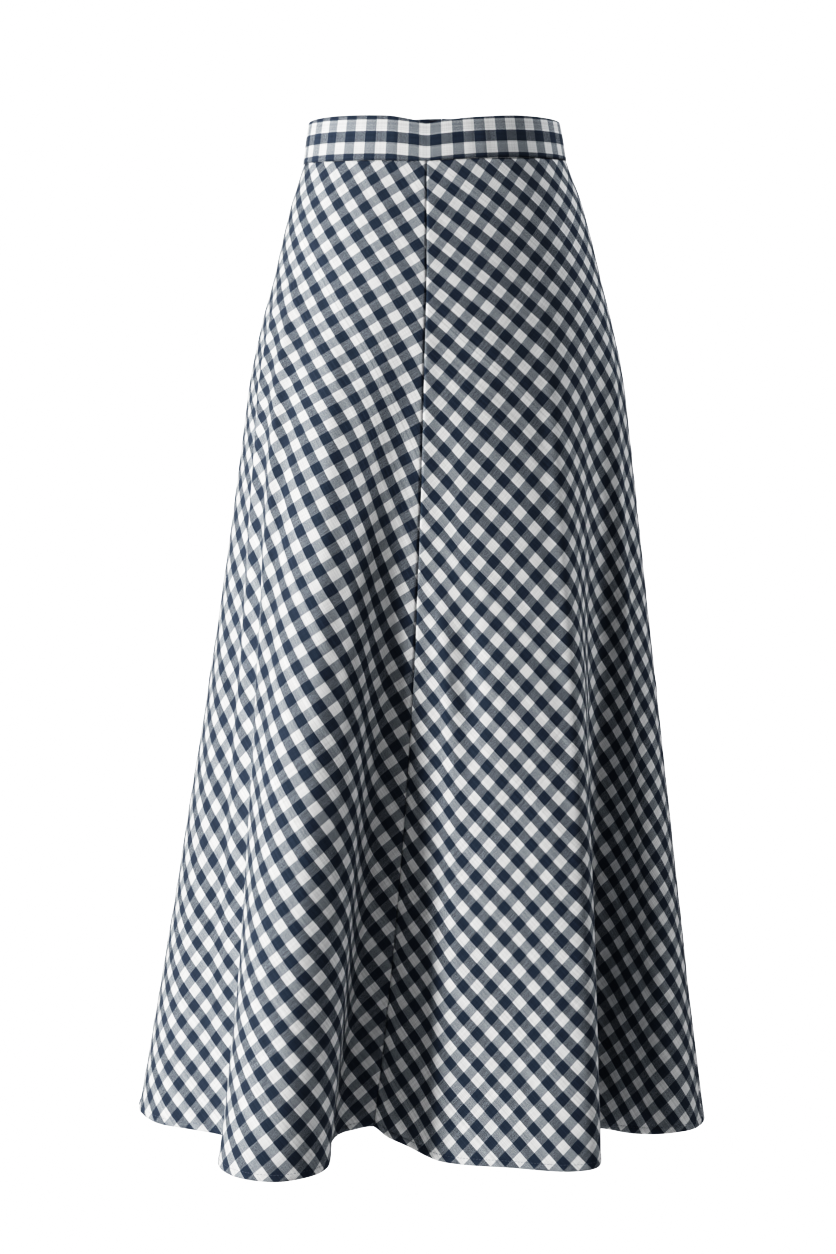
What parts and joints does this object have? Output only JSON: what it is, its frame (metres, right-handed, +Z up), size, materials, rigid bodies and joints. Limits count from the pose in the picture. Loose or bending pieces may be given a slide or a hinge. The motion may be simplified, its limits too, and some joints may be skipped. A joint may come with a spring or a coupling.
{
  "type": "gingham skirt",
  "caption": "Long bias-cut skirt of gored checked cloth on a narrow straight waistband, flaring to a folded hem, open at waist and hem.",
  "frame": {"origin": "middle of the waist opening, level with the waistband's top edge at the sides", "axes": "+Z up along the body, -Y towards the wearer's front, +X towards the wearer's left"},
  "size_m": [0.536, 0.4107, 0.9539],
  "materials": {
    "gingham": "matte yarn-dyed gingham, navy and off-white",
    "tape": "matte navy woven tape",
    "slider": "satin navy enamel"
  },
  "bodies": {
    "skirt": {"front_right": "gingham", "front_left": "gingham", "back_right": "gingham", "back_left": "gingham", "waistband": "gingham", "zip_tape": "tape", "zip_slider": "slider"},
    "pull": {"zip_pull": "slider"}
  },
  "joints": [
    {"name": "pull_swing", "type": "hinge", "parent": "skirt", "child": "pull", "pos_m": [0.0072, 0.08937, 0.00161], "axis": [1, 0, 0], "range_deg": [0, 165]}
  ]
}
